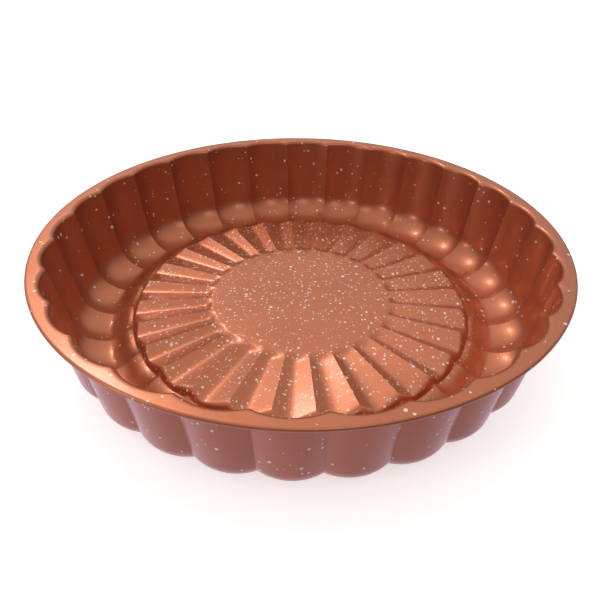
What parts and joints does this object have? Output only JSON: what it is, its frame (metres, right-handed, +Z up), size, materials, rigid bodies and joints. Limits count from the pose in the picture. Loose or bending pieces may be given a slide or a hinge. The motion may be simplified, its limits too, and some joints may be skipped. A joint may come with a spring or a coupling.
{
  "type": "fluted cake pan",
  "caption": "Round cake pan with a deep fluted wall, ball-ended flutes, a flat rim and a low pleated raised centre.",
  "frame": {"origin": "centre of the flat underside that the pan stands on", "axes": "+Z up out of the mouth; +X through the middle of one flute"},
  "size_m": [0.27, 0.27, 0.053],
  "materials": {
    "coated_metal": "copper-coloured non-stick coating, satin, with fine pale speckle"
  },
  "bodies": {
    "root": {"cake_pan": "coated_metal"}
  },
  "joints": []
}
